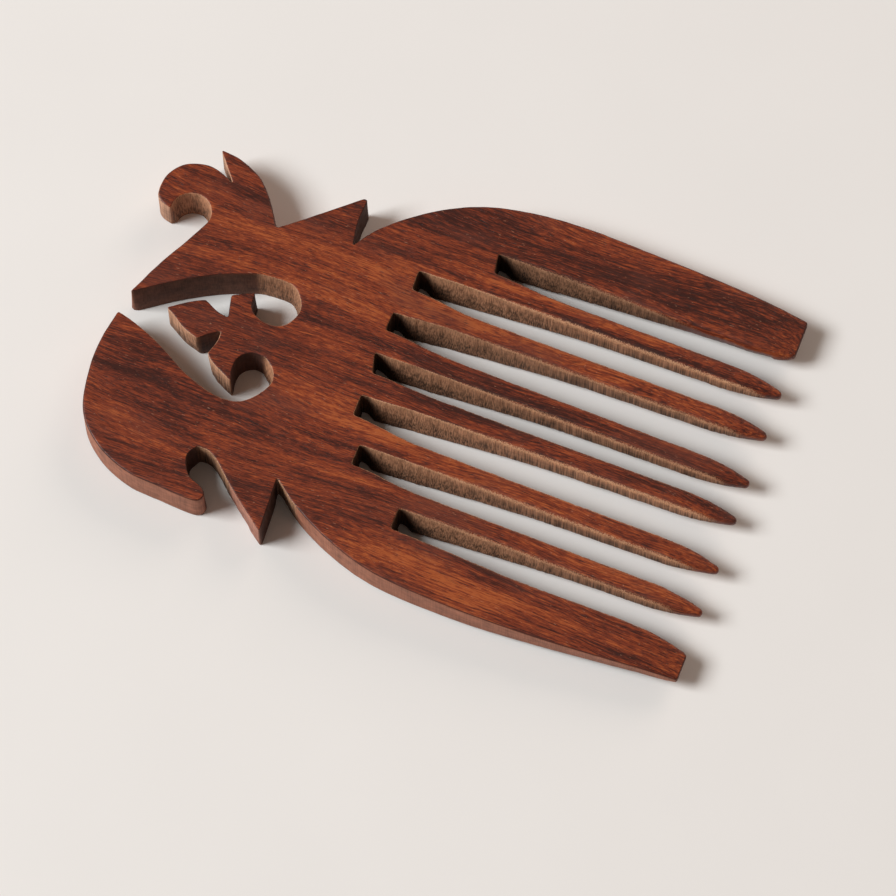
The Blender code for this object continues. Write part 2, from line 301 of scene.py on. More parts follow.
class Outline:
    """A closed outline seen from above, drawn anticlockwise one stroke at a time."""

    def __init__(self, start, wall):
        self.points = [Vector(start)]
        self.walls = [wall]
        self.wall = wall

    def add(self, point):
        self.points.append(point)
        self.walls.append(self.wall)

    def finish_from(self, place, wall):
        """Give the outline's last stretch, from the drawn point nearest to place, another wall."""
        place = Vector(place)
        first = min(range(len(self.points)), key=lambda index: (self.points[index] - place).length)
        self.walls[first:] = [wall] * (len(self.walls) - first)

    def line_to(self, end):
        start = self.points[-1]
        run = Vector(end) - start
        pieces = max(1, math.ceil(run.length / STROKE_STEP))
        for index in range(1, pieces + 1):
            self.add(start + run * index / pieces)

    def arc_through(self, via, end):
        """A circular arc from the last point, through via, to end."""
        a, b, c = self.points[-1], Vector(via), Vector(end)
        twice_area = (b - a).cross(c - a) * 2
        u, v = (b - a).length_squared, (c - a).length_squared
        centre = a + Vector(((c - a).y * u - (b - a).y * v, (b - a).x * v - (c - a).x * u)) / twice_area
        arm = a - centre
        sweep = math.atan2(arm.cross(c - centre), arm.dot(c - centre))
        if twice_area > 0 and sweep < 0:
            sweep += 2 * math.pi
        if twice_area < 0 and sweep > 0:
            sweep -= 2 * math.pi
        pieces = math.ceil(abs(sweep) * arm.length / STROKE_STEP)
        for index in range(1, pieces + 1):
            self.add(centre + Matrix.Rotation(sweep * index / pieces, 2) @ arm)

    def curve_through(self, *stations):
        """A smooth curve from the last point through the stations, ending at the last of them."""
        knots = [self.points[-1]] + [Vector(station) for station in stations]
        knots = [knots[0] * 2 - knots[1]] + knots + [knots[-1] * 2 - knots[-2]]
        for before, start, end, after in zip(knots, knots[1:], knots[2:], knots[3:]):
            pieces = max(1, math.ceil((end - start).length / STROKE_STEP))
            for index in range(1, pieces + 1):
                self.add(centripetal_point(before, start, end, after, index / pieces))


def centripetal_point(before, start, end, after, fraction):
    """The point at a fraction of the way from start to end on a centripetal Catmull-Rom curve."""
    first = math.sqrt((start - before).length)
    middle = math.sqrt((end - start).length)
    last = math.sqrt((after - end).length)
    leaving = (start - before) / first - (end - before) / (first + middle) + (end - start) / middle
    arriving = (end - start) / middle - (after - start) / (middle + last) + (after - end) / last
    leaving *= middle
    arriving *= middle
    cube = start * 2 - end * 2 + leaving + arriving
    square = end * 3 - start * 3 - leaving * 2 - arriving
    return ((cube * fraction + square) * fraction + leaving) * fraction + start


def draw_upper_side(outline):
    """The upper edge from the thick tooth's end, over the shoulder, to the gorge behind the wedge."""
    outline.wall = SANDED
    outline.curve_through((50.5, 41.7), (30.7, 42.6), (17.0, 42.9), (5.7, 42.0), (-4.5, 39.5), (-13.4, 34.9),
                          (-22.1, 27.6), (-25.0, 23.6), (-25.9, 22.0))


def draw_wedge_and_crest(outline):
    """The pointed wedge, the V gorge and the crest that leans back over the curl."""
    outline.wall = PAINTED_SHADE_RECESS
    outline.curve_through((-26.8, 27.5), (-26.7, 32.6))
    outline.wall = SANDED
    outline.line_to((-27.5, 32.7))
    outline.curve_through((-31.2, 29.4), (-36.3, 24.9), (-41.8, 20.2))
    outline.curve_through((-45.9, 26.2), (-49.2, 29.5), (-54.8, 32.0), (-58.8, 32.4))
    outline.wall = LEAF
    outline.curve_through((-56.5, 29.5), (-53.85, 26.25))


def draw_curl(outline):
    """The round curl at the handle's corner, and the round pocket inside it."""
    outline.wall = SANDED
    outline.curve_through((-57.2, 27.8), (-60.0, 28.3), (-64.6, 26.8), (-66.9, 23.9), (-67.6, 20.6),
                          (-67.3, 18.6))
    outline.finish_from((-67.3, 21.5), CURL_TIP)
    outline.wall = CURL_TIP
    outline.curve_through((-66.5, 17.5), (-65.2, 16.9), (-63.6, 16.5))
    outline.wall = PIERCED
    outline.arc_through((-59.6, 21.4), (-55.3, 16.6))


def draw_beak(outline):
    """The long beak, and the round hole that its inner edge runs into."""
    outline.wall = SANDED
    outline.curve_through((-58.0, 10.7), (-61.3, 4.0), (-64.3, -3.7))
    outline.wall = BEAK
    outline.curve_through((-56.0, 2.2), (-48.8, 6.3), (-41.6, 9.2))
    outline.wall = PIERCED
    outline.curve_through((-37.6, 9.6), (-33.4, 9.1), (-30.6, 4.9), (-32.6, 0.4), (-36.8, -0.2),
                          (-39.9, 1.7), (-40.5, 5.2))
    outline.finish_from((-38.8, 0.6), PAINTED_SHADE_RECESS)


def draw_leaf(outline):
    """The leaf in the middle of the handle, with a lobe on each side and a thorn-shaped nick."""
    outline.wall = PAINTED_SHADE_RECESS
    outline.curve_through((-42.8, 4.05), (-44.9, 3.0))
    outline.curve_through((-44.3, 0.6), (-43.6, -1.9))
    outline.curve_through((-46.05, -1.4), (-49.3, 0.2))
    outline.curve_through((-52.1, -1.3), (-56.1, -4.2))
    outline.wall = LEAF
    outline.curve_through((-54.0, -5.4), (-51.6, -7.0), (-47.9, -8.4))
    outline.wall = PAINTED_SHADE_RECESS
    outline.curve_through((-45.6, -6.4), (-43.8, -5.1))
    outline.wall = LEAF
    outline.curve_through((-43.7, -7.2), (-44.7, -10.7))
    outline.curve_through((-43.0, -12.1), (-40.4, -13.5), (-38.0, -14.6))


def draw_long_lobe(outline):
    """The lower round hole, and the broad lobe that sweeps from it round the handle's corner to a hook."""
    outline.wall = PAINTED_SHADE_RECESS
    outline.curve_through((-38.7, -12.4), (-38.5, -9.4), (-36.4, -7.4), (-33.5, -7.3))
    outline.wall = PIERCED
    outline.curve_through((-30.9, -9.5), (-30.2, -11.8), (-31.2, -14.4), (-34.2, -17.8), (-38.8, -18.7),
                          (-46.6, -16.5), (-54.4, -12.3), (-60.9, -9.6), (-65.0, -8.5))
    outline.wall = SANDED
    outline.curve_through((-65.9, -14.8), (-65.8, -21.2), (-63.2, -31.4), (-57.7, -37.0), (-50.3, -40.2),
                          (-43.0, -40.9), (-36.5, -41.3), (-34.8, -41.1), (-33.9, -40.3), (-33.8, -39.3))
    outline.wall = PAINTED_SHADE_RECESS
    outline.curve_through((-34.6, -38.2), (-38.2, -36.5), (-40.2, -32.7), (-39.0, -30.1))


def draw_spike_and_lower_side(outline):
    """The spike below the hook, its gorge, and the lower edge out to the other thick tooth's end."""
    outline.wall = ROUGH
    outline.curve_through((-35.9, -30.5), (-30.5, -35.0), (-26.0, -38.7), (-20.7, -42.7))
    outline.finish_from((-29.5, -35.8), SPIKE)
    outline.wall = PAINTED_SHADE_RECESS
    outline.curve_through((-21.2, -35.5), (-21.6, -30.8))
    outline.wall = ROUGH
    outline.curve_through((-15.9, -35.1), (-8.1, -39.2), (2.6, -42.6), (19.2, -43.9), (39.0, -43.6),
                          (58.9, -42.2), LOWER_END[0])
    outline.finish_from((-15.5, -35.4), SANDED)


def tooth_edge_y(tooth, side, x):
    """Y of a thin tooth's side (+1 upper, -1 lower) at x, with its point but without its root."""
    root_x = SLOT_LOWER_CORNER[tooth][0]
    along = (x - root_x) / (TOOTH_TIP_X[tooth] - root_x)
    centre = TOOTH_ROOT_Y[tooth] + (TOOTH_TIP_Y[tooth] - TOOTH_ROOT_Y[tooth]) * along
    to_tip = min(1.0, max(0.0, (TOOTH_TIP_X[tooth] - x) / POINT_LENGTH))
    width = POINT_WIDTH + (TOOTH_WIDTH - POINT_WIDTH) * (1 - (1 - to_tip) ** 2)
    to_end = min(1.0, (TOOTH_TIP_X[tooth] - x) / TIP_RADIUS)
    return centre + side * width / 2 * math.sqrt(1 - (1 - to_end) ** 2)


def tooth_side(tooth, side, slot_corner):
    """A thin tooth's side from its slot's corner to its tip."""
    start_x, cut_y = slot_corner
    length = TOOTH_TIP_X[tooth] - start_x
    pieces = math.ceil(length / STROKE_STEP)
    shares = [index / pieces for index in range(pieces)]
    shares += [1 - step / pieces for step in TIP_STEPS]
    points = []
    for share in shares:
        x = start_x + length * share
        sanded = min(1.0, (x - start_x) / ROOT_BLEND_LENGTH)
        sanded = sanded * sanded * (3 - 2 * sanded)
        points.append(Vector((x, cut_y + (tooth_edge_y(tooth, side, x) - cut_y) * sanded)))
    return points


def draw_teeth(outline):
    """The lower thick tooth's end and inner side, the six thin teeth, and the upper tooth's inner side."""
    outline.wall = END_GRAIN
    outline.line_to(LOWER_END[1])
    outline.wall = SLOT
    outline.curve_through((63.0, -34.5), (55.0, -33.8), (30.0, -33.7), (15.0, -33.0), SLOT_LOWER_CORNER[-1])
    for tooth in reversed(range(len(TOOTH_TIP_X))):
        outline.line_to(SLOT_UPPER_CORNER[tooth + 1])
        for point in tooth_side(tooth, -1, SLOT_UPPER_CORNER[tooth + 1])[1:]:
            outline.add(point)
        for point in tooth_side(tooth, 1, SLOT_LOWER_CORNER[tooth])[-2::-1]:
            outline.add(point)
    outline.line_to(SLOT_UPPER_CORNER[0])
    outline.curve_through((15.0, 30.8), (50.0, 30.5), (60.0, 30.7), (64.3, 31.3), UPPER_END[0])
    outline.wall = END_GRAIN
    outline.line_to(UPPER_END[1])


def comb_outline():
    outline = Outline(UPPER_END[1], SANDED)
    draw_upper_side(outline)
    draw_wedge_and_crest(outline)
    draw_curl(outline)
    draw_beak(outline)
    draw_leaf(outline)
    draw_long_lobe(outline)
    draw_spike_and_lower_side(outline)
    draw_teeth(outline)
    return outline


# ---- Numbers along the outline ----

def smooth_step(value, low, high):
    part = np.clip((value - low) / (high - low), 0.0, 1.0)
    return part * part * (3 - 2 * part)


def blur_round(values, passes):
    """A closed run of values, each pass mixed half and half with its two neighbours."""
    for _ in range(passes):
        values = values / 2 + (np.roll(values, 1, axis=0) + np.roll(values, -1, axis=0)) / 4
    return values


def least_nearby(values, reach):
    """Each value of a closed run, or the least of its neighbours within reach."""
    return np.min([np.roll(values, offset) for offset in range(-reach, reach + 1)], axis=0)


def even_columns(outline):
    """The outline as evenly spaced points, with the wall that each one belongs to."""
    points = np.array([point[:] for point in outline.points])
    steps = np.linalg.norm(np.diff(points, axis=0), axis=1)
    along = np.concatenate(([0.0], np.cumsum(steps)))
    columns = round(along[-1] / WALL_STEP)
    places = np.arange(columns) * along[-1] / columns
    even = np.stack([np.interp(places, along, points[:, axis]) for axis in (0, 1)], axis=1)
    owners = np.minimum(np.searchsorted(along, places, side="right"), len(points) - 1)
    return even, places, [outline.walls[owner] for owner in owners]


def inward_normals(points):
    tangent = np.roll(points, -1, axis=0) - np.roll(points, 1, axis=0)
    tangent /= np.linalg.norm(tangent, axis=1)[:, None]
    return np.stack([-tangent[:, 1], tangent[:, 0]], axis=1)


def room(points, normals):
    """Radius of the largest circle on the normal's side that touches the outline at each point, softened."""
    radii = np.full(len(points), MOST_ROOM)
    for first in range(0, len(points), BLOCK):
        part = slice(first, first + BLOCK)
        gap = points[None, :, :] - points[part, None, :]
        square = (gap ** 2).sum(axis=2)
        ahead = (gap * normals[part, None, :]).sum(axis=2)
        limits = ahead > LEAST_SLOPE * np.sqrt(square)
        radius = np.where(limits, square / np.maximum(2 * ahead, TINY), MOST_ROOM)
        radius[square < TINY] = MOST_ROOM
        radii[part] = np.minimum(MOST_ROOM, radius.min(axis=1))
    return blur_round(least_nearby(radii, ROOM_REACH), ROOM_PASSES)


def ripple(places, length, seed):
    """A smooth, repeatable wobble along one or two coordinates, mostly between -1 and 1."""
    chance = np.random.default_rng(seed)
    places = np.atleast_2d(places.T).T
    total = np.zeros(len(places))
    for _ in range(RIPPLE_WAVES):
        turn = chance.uniform(0, 2 * math.pi)
        heading = np.array([math.cos(turn), math.sin(turn)])
        if places.shape[1] == 1:
            heading = np.ones(1)
        pitch = length * chance.uniform(*WAVE_PITCHES)
        total += np.sin(places @ heading * 2 * math.pi / pitch + chance.uniform(0, 2 * math.pi))
    return total / math.sqrt(RIPPLE_WAVES)


def thickness_at(x):
    """The board's thickness at x: full in the handle, thinning along the teeth and again at their points."""
    along = np.clip((x - TAPER_START_X) / (TAPER_END_X - TAPER_START_X), 0.0, 1.0)
    thickness = BOARD_THICKNESS + (END_THICKNESS - BOARD_THICKNESS) * along
    to_point = np.clip((x - TAPER_END_X + POINT_LENGTH) / POINT_LENGTH, 0.0, 1.0)
    return thickness + (POINT_THICKNESS - END_THICKNESS) * to_point ** 2


def figure_tone(places):
    """How orange (above 0) or dark (below 0) the wood's figure is at each place."""
    tone = np.zeros(len(places))
    for number, (x, y, half_length, half_width, slope, strength) in enumerate(FIGURE):
        run = places[:, 0] - x
        wander = ripple(places[:, 0], half_length * BAND_WANDER_LENGTH, number) * half_width * BAND_WANDER
        offset = places[:, 1] - y - slope * run - wander
        tone += strength * np.exp(-(run / half_length) ** 4 - (offset / half_width) ** 2)
    return tone


# ---- The comb's surface ----

def nearest_slot(points):
    """The number of the slot whose middle line is nearest to each column."""
    middles = (np.array(SLOT_UPPER_CORNER)[:, 1] + np.array(SLOT_LOWER_CORNER)[:, 1]) / 2
    return np.abs(points[:, None, 1] - middles[None, :]).argmin(axis=1)


def wall_values(points, places, walls):
    """What the walls' finish gives each column, by name."""
    names = Wall._fields[1:]
    values = dict(zip(names, blur_round(np.array([wall[1:] for wall in walls]), FINISH_PASSES).T))
    values["colour"] = blur_round(np.array([wall.colour for wall in walls]), COLOUR_PASSES)
    x = points[:, 0]
    is_slot = blur_round(np.array([float(wall is SLOT) for wall in walls]), FINISH_PASSES)
    faces_near = smooth_step(inward_normals(points)[:, 1], *FACES_NEAR)
    slot = nearest_slot(points)
    from_root = x - np.array(SLOT_UPPER_CORNER)[slot, 0]
    by_upper_tooth = slot == 0
    upper_tooth_sanded = smooth_step(x, *SANDED_END_X)

    at_root = 1 - smooth_step(from_root, 0.0, SLOT_LEAN_LENGTH)
    leaning = SLOT_LEAN_ELSEWHERE + (1 - SLOT_LEAN_ELSEWHERE) * faces_near
    values["lean"] += is_slot * leaning * SLOT_LEAN * at_root
    undercut = (1 - is_slot) * smooth_step(x, *UNDERCUT_X) + is_slot * by_upper_tooth * upper_tooth_sanded
    values["lean"] -= UNDERCUT * faces_near * undercut * smooth_step(x, *UNDERCUT_END_X)
    values["lean_share"] = LEAN_SHARE + (SLOT_LEAN_SHARE - LEAN_SHARE) * is_slot * faces_near

    sanded = smooth_step(x, TAPER_START_X, TAPER_START_X + TOOTH_ROUNDING_LENGTH)
    near_more = TOOTH_ROUNDING_FAR + (1 - TOOTH_ROUNDING_FAR) * faces_near
    values["rounding"] *= 1 + ROUNDING_UNEVENNESS * ripple(places, *ROUNDING_RIPPLE)
    values["rounding"] += is_slot * TOOTH_ROUNDING * sanded * near_more

    values["fuzz"] *= np.where(is_slot > 0.5, np.array(SLOT_FUZZ)[slot], 1.0)
    values["colour"] *= np.where(is_slot > 0.5, np.array(SLOT_PALE)[slot], 1.0)[:, None]
    to_point = smooth_step(x, *SANDED_POINT_X)
    to_point = np.where(by_upper_tooth & (faces_near > 0.5), upper_tooth_sanded, to_point)
    values["bare"] = 1 - (1 - SANDED_BARE_SHARE) * is_slot * to_point
    values["is_slot"] = is_slot
    values["from_root"] = from_root
    return values


def ring_steps():
    """Each ring round the wall, from the underside up: its inset, drop, rise and share of bare wood."""
    turns = [math.radians(90) * index / EDGE_ROWS for index in range(EDGE_ROWS + 1)]
    lower_edge = [(1 - math.sin(turn), 1 - math.cos(turn), 0.0, turn / turns[-1]) for turn in turns]
    upright = [(0.0, 1.0, row / WALL_ROWS, 1.0) for row in range(1, WALL_ROWS)]
    upper_edge = [(inset, drop, 1.0, share) for inset, drop, _, share in reversed(lower_edge)]
    return lower_edge + upright + upper_edge


def limited_lean(finish, space_inside, space_outside, rounding_in):
    """The walls' lean, kept clear of the walls across the gap and of the far side of narrow wood."""
    lean = np.minimum(finish["lean"], finish["lean_share"] * space_outside)
    undercut_room = blur_round(least_nearby(space_inside, UNDERCUT_REACH), UNDERCUT_PASSES)
    return np.maximum(lean, np.minimum(0.0, rounding_in - UNDERCUT_SHARE * undercut_room))


def wall_rings(outline, places, finish):
    """The rings round the wall, from the underside up: each one's vertices and their values, by name."""
    saw = finish["saw"]
    inward = inward_normals(blur_round(outline, 1))
    space_inside = room(outline, inward)
    space_outside = room(outline, -inward)
    rounding_in = np.minimum(finish["rounding"], BALL_SHARE * space_inside)
    rounding_down = np.minimum(finish["rounding"], EDGE_HEIGHT_SHARE * thickness_at(outline[:, 0]))
    lean = limited_lean(finish, space_inside, space_outside, rounding_in)
    wander = SANDED_WANDER_SHARE + (1 - SANDED_WANDER_SHARE) * saw
    marks = saw * SAW_DEPTH * ripple(places, *SAW_RIPPLE)
    marks += CUT_WANDER * wander * ripple(places, *WANDER_RIPPLE)
    painted_shade_at_top, painted_shade_at_foot = PAINTED_ROOT_SHADE_LENGTH

    rings = []
    for inset, drop, rise, share in ring_steps():
        offset = inset * rounding_in - lean * (1 - rise) ** LEAN_POWER + marks * share
        ring = outline + inward * offset[:, None]
        thick = thickness_at(ring[:, 0])
        low = drop * rounding_down
        height = low + (thick - 2 * low) * rise
        underside = (BOARD_THICKNESS - thick) / 2
        height_share = height / thick
        # painted shade towards a slot's blind end, reaching further along the wall at its foot than at its
        # top, like the blind end's shadow
        painted_shade_length = painted_shade_at_foot + (painted_shade_at_top - painted_shade_at_foot) * height_share
        clear_of_painted_shade = smooth_step(finish["from_root"] / painted_shade_length, *PAINTED_ROOT_SHADE_EDGE)
        rings.append({
            "place": np.column_stack([ring, underside + height]),
            "wall": share * finish["bare"],
            "height": height_share,
            "painted_shade": share * finish["is_slot"] * (1 - clear_of_painted_shade),
        })
    return rings


def ring_faces(columns, rings):
    """The four-sided faces between each ring's vertices and the next one's."""
    faces = []
    for here in range(0, columns * (rings - 1), columns):
        over = here + columns
        for column in range(columns):
            after = (column + 1) % columns
            faces.append((here + column, here + after, over + after, over + column))
    return faces


def face_part(inner, top):
    """The points inside a broad face, with their values, by name."""
    thick = thickness_at(inner[:, 0])
    height = BOARD_THICKNESS / 2 + (thick / 2 if top else -thick / 2)
    place = np.column_stack([inner, height])
    zero = np.zeros(len(inner))
    return {"place": place, "wall": zero, "height": zero + 1 if top else zero, "painted_shade": zero}


def hollow_faces(verts, height_share):
    """Let both broad faces dip unevenly, as hand sanding leaves them."""
    upper_hollow = 1 + ripple(verts[:, :2], *UPPER_FACE_RIPPLE) / RIPPLE_PEAK
    lower_hollow = 1 + ripple(verts[:, :2], *LOWER_FACE_RIPPLE) / RIPPLE_PEAK
    verts[:, 2] -= FACE_HOLLOW * height_share * upper_hollow
    verts[:, 2] += FACE_HOLLOW * (1 - height_share) * lower_hollow / 2


def comb_surface():
    """The comb's vertices, faces and per-vertex values."""
    outline, places, walls = even_columns(comb_outline())
    outline = blur_round(outline, CORNER_PASSES)
    finish = wall_values(outline, places, walls)
    parts = wall_rings(outline, places, finish)
    columns = len(outline)
    rings = len(parts)
    faces = ring_faces(columns, rings)
    total = columns * rings
    for ring, first, top in ((parts[0], 0, False), (parts[-1], total - columns, True)):
        inner, triangles = face_mesh(ring["place"][:, :2])
        numbers = [*range(first, first + columns), *range(total, total + len(inner))]
        for a, b, c in triangles:
            corners = (numbers[a], numbers[b], numbers[c])
            faces.append(corners if top else corners[::-1])
        parts.append(face_part(inner, top))
        total += len(inner)
    values = {name: np.concatenate([part[name] for part in parts]) for name in parts[0]}
    verts = values.pop("place")
    hollow_faces(verts, values["height"])

    red, green, blue = finish["colour"].T
    in_faces = np.zeros(total - columns * rings)
    per_column = {"saw": finish["saw"], "fuzz": finish["fuzz"], "red": red, "green": green, "blue": blue}
    for name, value in per_column.items():
        values[name] = np.concatenate([np.tile(value, rings), in_faces])
    values["lined"] = smooth_step(verts[:, 0], *LINED_X)
    values["tone"] = figure_tone(verts[:, :2])
    return verts, faces, values


def face_mesh(border):
    """Points inside a face's border, and the triangles that join border and points."""
    low, high = border.min(axis=0), border.max(axis=0)
    chance = np.random.default_rng(FACE_SEED)
    along = np.arange(low[0], high[0], FACE_STEP)
    across = np.arange(low[1], high[1], FACE_STEP)
    grid = np.stack(np.meshgrid(along, across), axis=-1).reshape(-1, 2)
    grid = grid + chance.uniform(-FACE_JITTER, FACE_JITTER, grid.shape) * FACE_STEP
    after = np.roll(border, -1, axis=0)
    keep = []
    run, rise = (after - border).T
    rise = np.where(rise == 0, TINY, rise)
    for point in np.array_split(grid, max(1, len(grid) // BLOCK)):
        x, y = point[:, 0, None], point[:, 1, None]
        crosses = (border[None, :, 1] > y) != (after[None, :, 1] > y)
        at_x = border[None, :, 0] + (y - border[None, :, 1]) * run / rise
        inside = (crosses & (x < at_x)).sum(axis=1) % 2 == 1
        nearest = np.sqrt((border[None, :, 0] - x) ** 2 + (border[None, :, 1] - y) ** 2).min(axis=1)
        keep.append(point[inside & (nearest > FACE_CLEARANCE)])
    inner = np.concatenate(keep)
    everything = [Vector(point) for point in np.concatenate([border, inner])]
    inside_only = 1
    result = delaunay_2d_cdt(everything, [], [range(len(border))], inside_only, 1e-5)
    if len(result[0]) != len(everything):
        raise ValueError("the face's border touches itself")
    return inner, result[2]


def build_comb():
    verts, faces, values = comb_surface()
    low, high = (np.array(corner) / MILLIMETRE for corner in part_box("comb"))
    own_low, own_high = verts.min(axis=0), verts.max(axis=0)
    shift = (low + high) / 2 - (own_low + own_high) / 2
    verts[:, :2] += shift[:2]
    verts = np.clip(verts, low, high)
    data = bpy.data.meshes.new("comb_wood")
    data.from_pydata((verts * MILLIMETRE).tolist(), [], faces)
    for name, value in values.items():
        layer = data.attributes.new(name, "FLOAT", "POINT")
        layer.data.foreach_set("value", value.astype(np.float32))
    data.polygons.foreach_set("use_smooth", [True] * len(data.polygons))
    data.update()
    comb = bpy.data.objects.new("comb_wood", data)
    bpy.context.scene.collection.objects.link(comb)
    return comb


# ---- Materials ----

class Graph:
    """Short calls for wiring one material's nodes."""

    def __init__(self, name):
        self.material = bpy.data.materials.new(name)
        self.material.use_nodes = True
        self.tree = self.material.node_tree
        self.shader = self.tree.nodes["Principled BSDF"]

    def node(self, kind, inputs, **settings):
        node = self.tree.nodes.new(kind)
        for name, value in settings.items():
            setattr(node, name, value)
        for socket, value in inputs.items():
            self.feed(node.inputs[socket], value)
        return node

    def feed(self, socket, value):
        if isinstance(value, bpy.types.NodeSocket):
            self.tree.links.new(value, socket)
        else:
            socket.default_value = value

    def value(self, operation, first, second=0.0, third=0.0):
        return self.node("ShaderNodeMath", {0: first, 1: second, 2: third}, operation=operation).outputs[0]

    def vector(self, operation, first, second):
        return self.node("ShaderNodeVectorMath", {0: first, 1: second}, operation=operation).outputs[0]

    def attribute(self, name):
        return self.node("ShaderNodeAttribute", {}, attribute_name=name).outputs["Fac"]

    def place(self):
        """The place on the comb in millimetres."""
        metres = self.node("ShaderNodeTexCoord", {}).outputs["Object"]
        return self.vector("MULTIPLY", metres, (1 / MILLIMETRE,) * 3)

    def noise(self, place, noise, output="Fac"):
        scaled = self.vector("DIVIDE", place, noise.lengths)
        settings = {"Vector": scaled, "Scale": 1.0, "Detail": noise.detail, "Roughness": noise.roughness}
        return self.node("ShaderNodeTexNoise", settings).outputs[output]

    def remap(self, value, low, high, to_low=0.0, to_high=1.0):
        """The value's way from low to high, eased at both ends, as a way from to_low to to_high."""
        settings = {"Value": value, "From Min": low, "From Max": high, "To Min": to_low, "To Max": to_high}
        return self.node("ShaderNodeMapRange", settings, interpolation_type="SMOOTHSTEP").outputs[0]

    def mix(self, share, first, second, blend="MIX"):
        node = self.node("ShaderNodeMix", {}, data_type="RGBA", blend_type=blend)
        self.feed(node.inputs["Factor"], share)
        self.feed(node.inputs[6], first)
        self.feed(node.inputs[7], second)
        return node.outputs[2]

    def ramp(self, value, stops):
        node = self.node("ShaderNodeValToRGB", {"Fac": value})
        elements = node.color_ramp.elements
        while len(elements) < len(stops):
            elements.new(0.5)
        for element, (position, colour) in zip(elements, stops):
            element.position = position
            element.color = (*colour, 1.0)
        return node.outputs["Color"]


def bent_grain(graph, place):
    """Place with the straight grain bent a little, so that its lines wander."""
    bends = []
    for noise, size in ((SLOW_BEND, SLOW_BEND_SIZE), (QUICK_BEND, QUICK_BEND_SIZE)):
        wander = graph.vector("SUBTRACT", graph.noise(place, noise, "Color"), (0.5, 0.5, 0.5))
        bends.append(graph.vector("MULTIPLY", wander, size))
    return graph.vector("ADD", place, graph.vector("ADD", *bends))


def weighted(graph, total, value, weight):
    """The total with a noise value around one half added to it, so many times over."""
    return graph.value("MULTIPLY_ADD", graph.value("SUBTRACT", value, 0.5), weight, total)


def between_ends(graph, share, ends):
    """A number that goes from the first end to the last one as share goes from 0 to 1."""
    return graph.value("MULTIPLY_ADD", share, ends[1] - ends[0], ends[0])


def with_spots(graph, colour, place, spots):
    """The colour with spots laid over it, and where they lie."""
    where = graph.remap(graph.noise(place, spots.noise), spots.low, spots.high)
    return graph.mix(graph.value("MULTIPLY", where, spots.strength), colour, spots.colour), where


def face_wood(graph, place, grain):
    """Colour of the oiled, sanded wood, and the height of its grain."""
    tone = graph.value("MULTIPLY_ADD", graph.attribute("tone"), FIGURE_WEIGHT, MIDDLE_TONE)
    for noise, weight in TONE_WEIGHTS:
        tone = weighted(graph, tone, graph.noise(grain, noise), weight)
    lines = graph.noise(grain, LINES)
    tone = weighted(graph, tone, lines, between_ends(graph, graph.attribute("lined"), LINES_WEIGHT))
    colour = graph.ramp(tone, FACE_COLOURS)
    colour, _ = with_spots(graph, colour, place, DULL)
    colour, pores = with_spots(graph, colour, grain, PORES)
    colour, _ = with_spots(graph, colour, grain, GLINTS)
    height = graph.value("SUBTRACT", graph.value("MULTIPLY", lines, LINES_HEIGHT), pores)
    return colour, height


def wall_wood(graph, place, grain):
    """Colour of the bare wood in the walls, and the height of its saw marks and grain."""
    bare = graph.node("ShaderNodeCombineColor", {
        "Red": graph.attribute("red"), "Green": graph.attribute("green"), "Blue": graph.attribute("blue"),
    }).outputs[0]
    saw = graph.attribute("saw")
    strokes = graph.noise(place, SAW_STROKES)
    light = graph.value("MULTIPLY_ADD", graph.remap(strokes, *STROKES_RANGE, -0.5, 0.5),
                        between_ends(graph, saw, STROKES_WEIGHT), 1.0)
    light = weighted(graph, light, graph.noise(place, WALL_PATCHES), PATCHES_WEIGHT)
    light = weighted(graph, light, graph.noise(grain, WALL_LINES), WALL_LINES_WEIGHT)
    # painted shade at a sawn wall's foot and painted light at its top
    painted_lift = graph.remap(graph.attribute("height"), *PAINTED_LIFT_HEIGHTS, *PAINTED_WALL_LIFT)
    light = graph.value("MULTIPLY_ADD", saw, painted_lift, light)
    light = graph.value("MAXIMUM", light, LEAST_LIGHT)
    # painted shade towards the slots' blind ends
    in_painted_shade = graph.value("MULTIPLY", graph.attribute("painted_shade"), PAINTED_ROOT_SHADE)
    light = graph.value("MULTIPLY", light, graph.value("SUBTRACT", 1.0, in_painted_shade))
    grey = graph.node("ShaderNodeCombineColor", {"Red": light, "Green": light, "Blue": light}).outputs[0]
    colour = graph.mix(1.0, bare, grey, "MULTIPLY")
    height = graph.value("MULTIPLY", strokes, between_ends(graph, saw, STROKES_HEIGHT))
    return colour, height


def with_painted_edge_shade(graph, colour, share, fuzz):
    """The colour with a dark line of painted shade along smooth edges."""
    edge_shade = graph.value("MULTIPLY", graph.remap(share, *PAINTED_EDGE_SHADE_START), graph.remap(share, *PAINTED_EDGE_SHADE_END))
    edge_shade = graph.value("MULTIPLY", edge_shade, graph.remap(fuzz, *PAINTED_EDGE_SHADE_FUZZ))
    return graph.mix(graph.value("MULTIPLY", edge_shade, PAINTED_EDGE_SHADE_STRENGTH), colour, PAINTED_EDGE_SHADE_COLOUR)


def with_fibres(graph, colour, share, fuzz, speckle):
    """The colour with the pale torn fibres that the saw leaves along the upper edges."""
    at_top = graph.remap(graph.attribute("height"), *FIBRE_HEIGHTS)
    rim = graph.value("MULTIPLY", graph.remap(share, *FIBRE_START), at_top)
    # the fibres fade where shade is painted towards the slots' blind ends
    rim = graph.value("MULTIPLY", rim, graph.remap(graph.attribute("painted_shade"), *FIBRE_PAINTED_SHADE))
    torn = graph.remap(speckle, *FIBRE_SPECKLE)
    fibres = graph.value("MULTIPLY", graph.value("MULTIPLY", rim, fuzz), torn)
    return graph.mix(graph.value("MULTIPLY", fibres, FIBRE_STRENGTH), colour, FIBRE_COLOUR)


